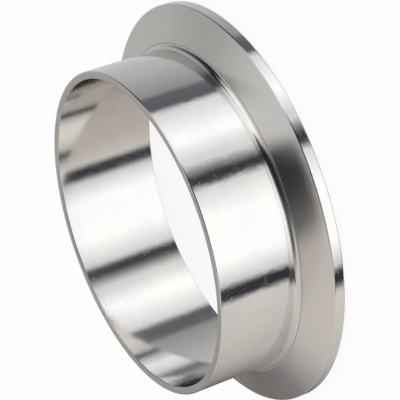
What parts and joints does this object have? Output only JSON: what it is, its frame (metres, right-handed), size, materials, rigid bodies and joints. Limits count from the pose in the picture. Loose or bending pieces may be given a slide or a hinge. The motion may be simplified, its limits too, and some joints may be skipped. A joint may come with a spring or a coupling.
{
  "type": "sanitary clamp ferrule",
  "caption": "Short thin-walled stainless weld ferrule with a tapered clamp flange and a gasket groove, for joining hygienic pipework with a quick clamp.",
  "frame": {"origin": "centre of the gasket face, where the ferrule stands", "axes": "+Z along the tube's axis, from the gasket face to the weld end; the ferrule is round, so +X and +Y are free"},
  "size_m": [0.106, 0.106, 0.028],
  "materials": {
    "stainless_steel": "bright turned and polished wall and rim, satin taper and faces"
  },
  "bodies": {
    "root": {"clamp_ferrule": "stainless_steel"}
  },
  "joints": []
}
